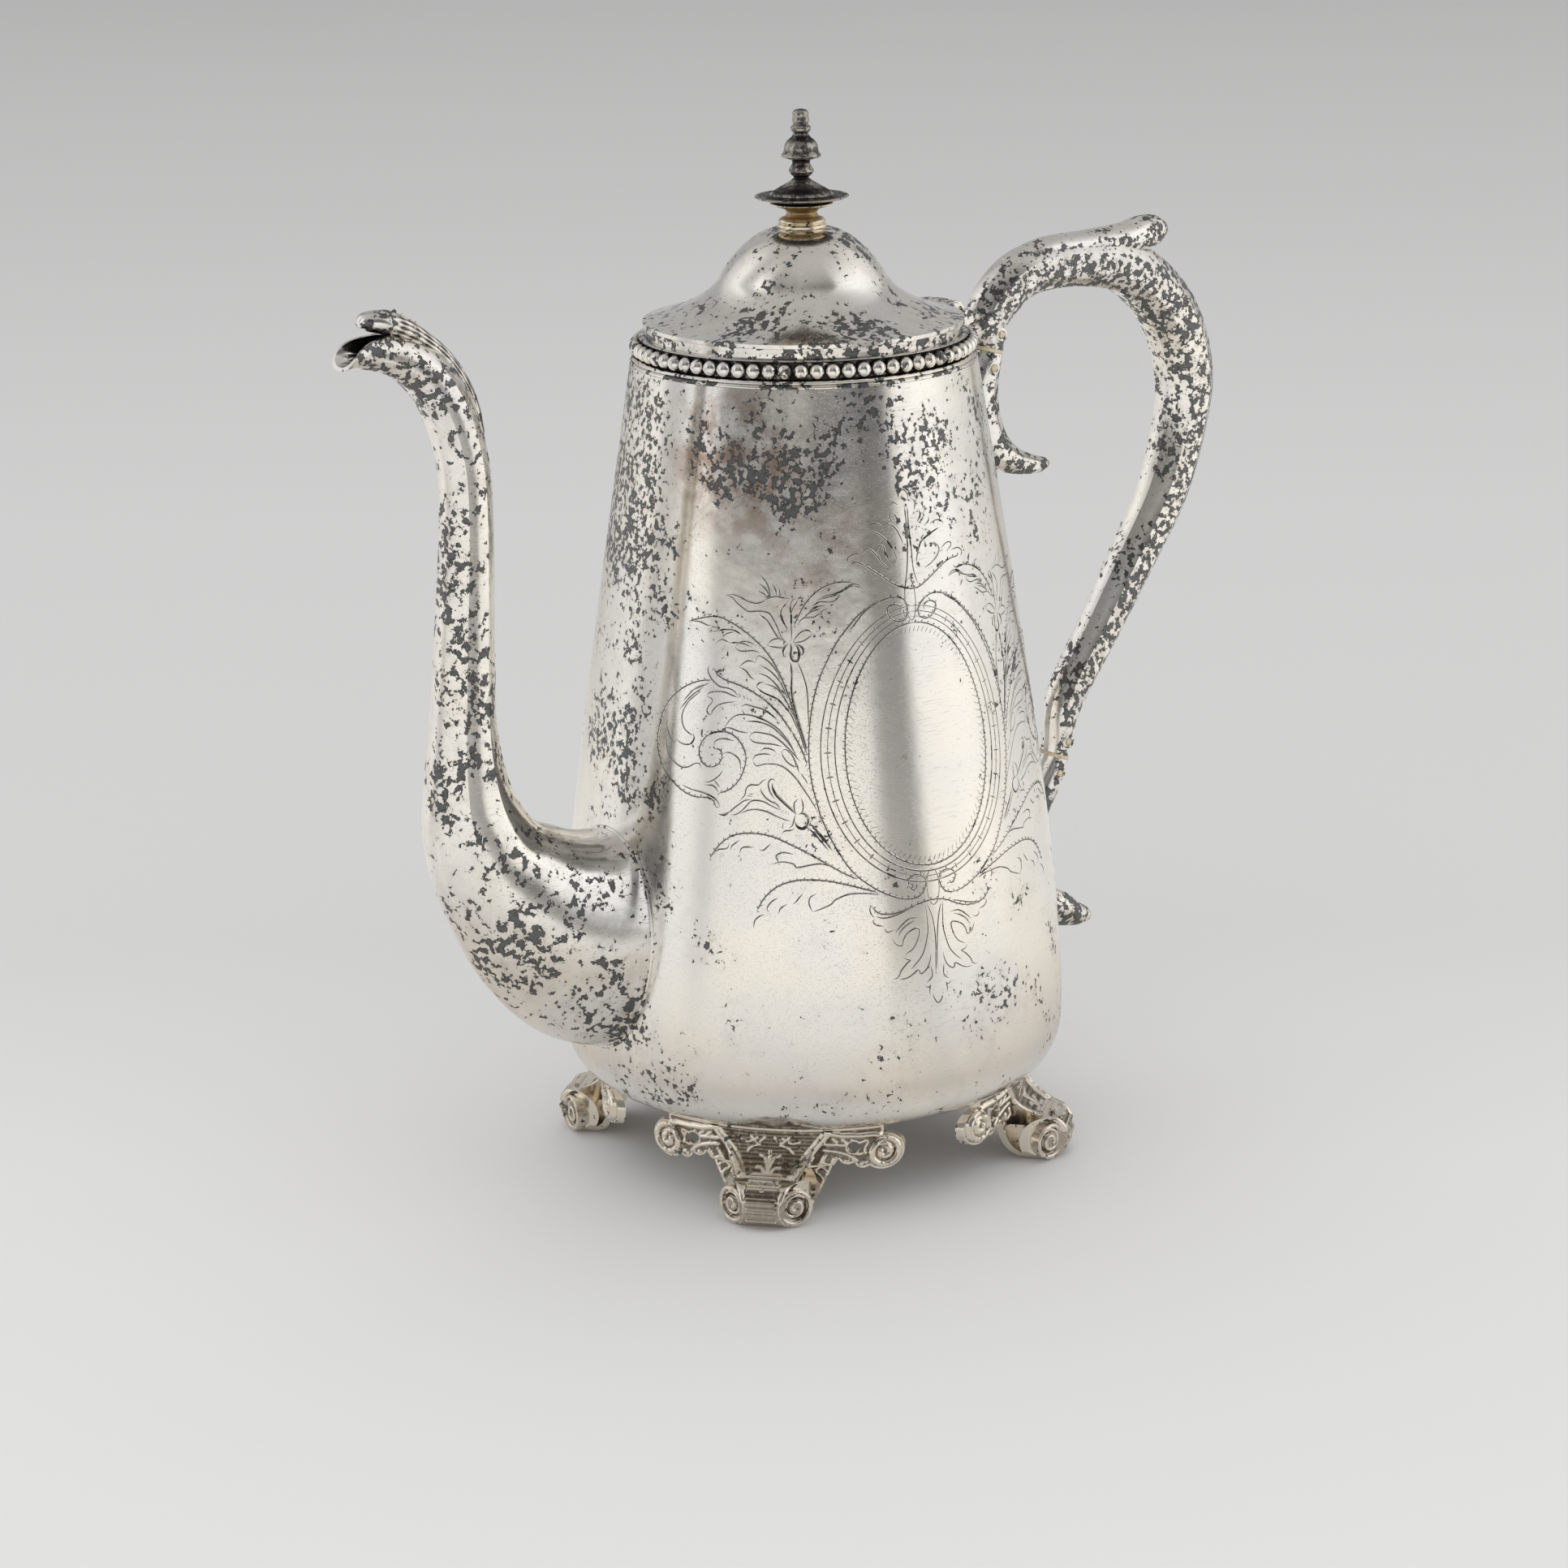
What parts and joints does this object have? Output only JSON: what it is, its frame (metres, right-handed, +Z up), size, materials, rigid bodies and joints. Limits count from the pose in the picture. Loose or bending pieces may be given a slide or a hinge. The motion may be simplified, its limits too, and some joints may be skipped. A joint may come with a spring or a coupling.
{
  "type": "coffee pot",
  "caption": "Footed metal coffee pot: tall pear body, swan-neck spout, scroll handle, hinged domed lid with turned finial, bead border.",
  "frame": {"origin": "on the table, under the body's vertical axis", "axes": "+Z up along the body's axis; -X towards the spout, +X towards the handle; -Y is the engraved side"},
  "size_m": [0.2499, 0.1252, 0.26],
  "materials": {
    "worn_silver": "silver plate on base metal, polished, tarnished in dark patches",
    "dark_silver": "silver plate on base metal, blackened in the recesses, bright on the high points",
    "bone": "yellowed insulating disc, smooth",
    "brass_pin": "dull yellow pin heads"
  },
  "bodies": {
    "pot": {"vessel": "worn_silver", "base_disc": "dark_silver", "collar": "worn_silver", "bead_band": "dark_silver", "spout": "worn_silver", "spout_leaf": "dark_silver", "upper_socket": "worn_silver", "lower_socket": "worn_silver", "upper_insulator": "bone", "lower_insulator": "bone", "handle": "worn_silver", "upper_pins": "brass_pin", "lower_pins": "brass_pin", "foot_spout_front": "dark_silver", "foot_spout_back": "dark_silver", "foot_handle_front": "dark_silver", "foot_handle_back": "dark_silver", "hinge_body_leaf": "worn_silver", "hinge_pin": "dark_silver"},
    "lid": {"lid": "worn_silver", "lid_bezel": "worn_silver", "lid_hinge_leaf": "worn_silver", "finial_base": "dark_silver", "finial_disc": "worn_silver", "finial_knop": "dark_silver", "finial_nut": "dark_silver"}
  },
  "joints": [
    {"name": "lid_hinge", "type": "hinge", "parent": "pot", "child": "lid", "pos_m": [0.0442, 0, 0.2062], "axis": [0, 1, 0], "range_deg": [0, 100]}
  ]
}
